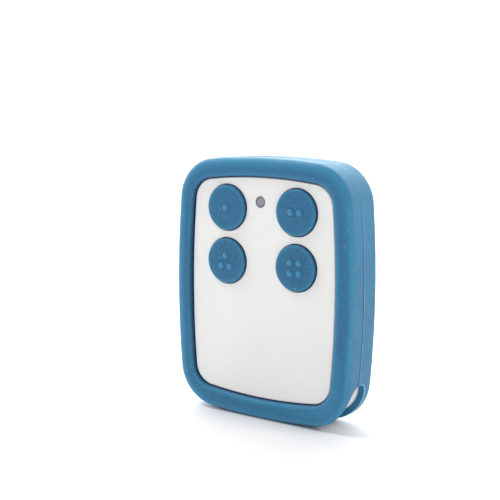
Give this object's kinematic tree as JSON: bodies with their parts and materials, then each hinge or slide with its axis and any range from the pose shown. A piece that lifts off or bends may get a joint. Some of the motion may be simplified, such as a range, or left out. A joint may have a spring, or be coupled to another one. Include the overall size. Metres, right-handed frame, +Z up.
{
  "type": "radio remote control",
  "caption": "Hand-held radio remote in a silicone sleeve: round push buttons marked with raised dots, each over a switch, an indicator window and a lanyard eye at one corner.",
  "frame": {"origin": "middle of the bottom edge that it stands on, half way through the thickness", "axes": "+X to the right across the face, +Y from the face to the back, +Z up the face"},
  "size_m": [0.0528, 0.0135, 0.0657],
  "materials": {
    "silicone": "satin moulded silicone",
    "shell_plastic": "fine satin",
    "window_plastic": "smoked, satin",
    "steel": "plated",
    "tinned_metal": "tinned",
    "switch_plastic": "moulded",
    "plunger_plastic": "moulded",
    "board": "solder resist",
    "copper": "bare copper",
    "led_plastic": "clear moulded",
    "chip_plastic": "moulded",
    "capacitor_ceramic": "fired",
    "resistor_ceramic": "fired",
    "cell_steel": "brushed",
    "gasket_plastic": "moulded",
    "holder_plastic": "moulded",
    "contact_metal": "nickel plated"
  },
  "bodies": {
    "case": {"sleeve": "silicone", "keypad_web": "silicone", "front_shell": "shell_plastic", "rear_shell": "shell_plastic", "light_pipe": "window_plastic", "screws": "steel", "switch_cover_1": "steel", "switch_cover_2": "steel", "switch_cover_3": "steel", "switch_cover_4": "steel", "crystal": "steel", "resonator": "steel", "switch_leads": "tinned_metal", "chip_pins": "tinned_metal", "switch_base_1": "switch_plastic", "switch_base_2": "switch_plastic", "switch_base_3": "switch_plastic", "switch_base_4": "switch_plastic", "circuit_board": "board", "aerial": "copper", "coil": "copper", "led": "led_plastic", "controller_chip": "chip_plastic", "transistor": "chip_plastic", "capacitors": "capacitor_ceramic", "resistors": "resistor_ceramic", "cell_can": "cell_steel", "cell_cap": "cell_steel", "cell_gasket": "gasket_plastic", "cell_holder": "holder_plastic", "negative_contact": "contact_metal", "positive_contact": "contact_metal"},
    "key_1": {"button_1": "silicone"},
    "plunger_1": {"switch_plunger_1": "plunger_plastic"},
    "key_2": {"button_2": "silicone"},
    "plunger_2": {"switch_plunger_2": "plunger_plastic"},
    "key_3": {"button_3": "silicone"},
    "plunger_3": {"switch_plunger_3": "plunger_plastic"},
    "key_4": {"button_4": "silicone"},
    "plunger_4": {"switch_plunger_4": "plunger_plastic"}
  },
  "joints": [
    {"name": "button_1_press", "type": "slide", "parent": "case", "child": "key_1", "axis": [0, 1, 0], "range_m": [0, 0.0003], "stiffness_N_per_m": 2500},
    {"name": "plunger_1_press", "type": "slide", "parent": "case", "child": "plunger_1", "axis": [0, 1, 0], "range_m": [0, 0.0003]},
    {"name": "button_2_press", "type": "slide", "parent": "case", "child": "key_2", "axis": [0, 1, 0], "range_m": [0, 0.0003], "stiffness_N_per_m": 2500},
    {"name": "plunger_2_press", "type": "slide", "parent": "case", "child": "plunger_2", "axis": [0, 1, 0], "range_m": [0, 0.0003]},
    {"name": "button_3_press", "type": "slide", "parent": "case", "child": "key_3", "axis": [0, 1, 0], "range_m": [0, 0.0003], "stiffness_N_per_m": 2500},
    {"name": "plunger_3_press", "type": "slide", "parent": "case", "child": "plunger_3", "axis": [0, 1, 0], "range_m": [0, 0.0003]},
    {"name": "button_4_press", "type": "slide", "parent": "case", "child": "key_4", "axis": [0, 1, 0], "range_m": [0, 0.0003], "stiffness_N_per_m": 2500},
    {"name": "plunger_4_press", "type": "slide", "parent": "case", "child": "plunger_4", "axis": [0, 1, 0], "range_m": [0, 0.0003]}
  ],
  "couplings": [
    {"joint": "plunger_1_press", "follows": "button_1_press", "ratio": 1},
    {"joint": "plunger_2_press", "follows": "button_2_press", "ratio": 1},
    {"joint": "plunger_3_press", "follows": "button_3_press", "ratio": 1},
    {"joint": "plunger_4_press", "follows": "button_4_press", "ratio": 1}
  ]
}
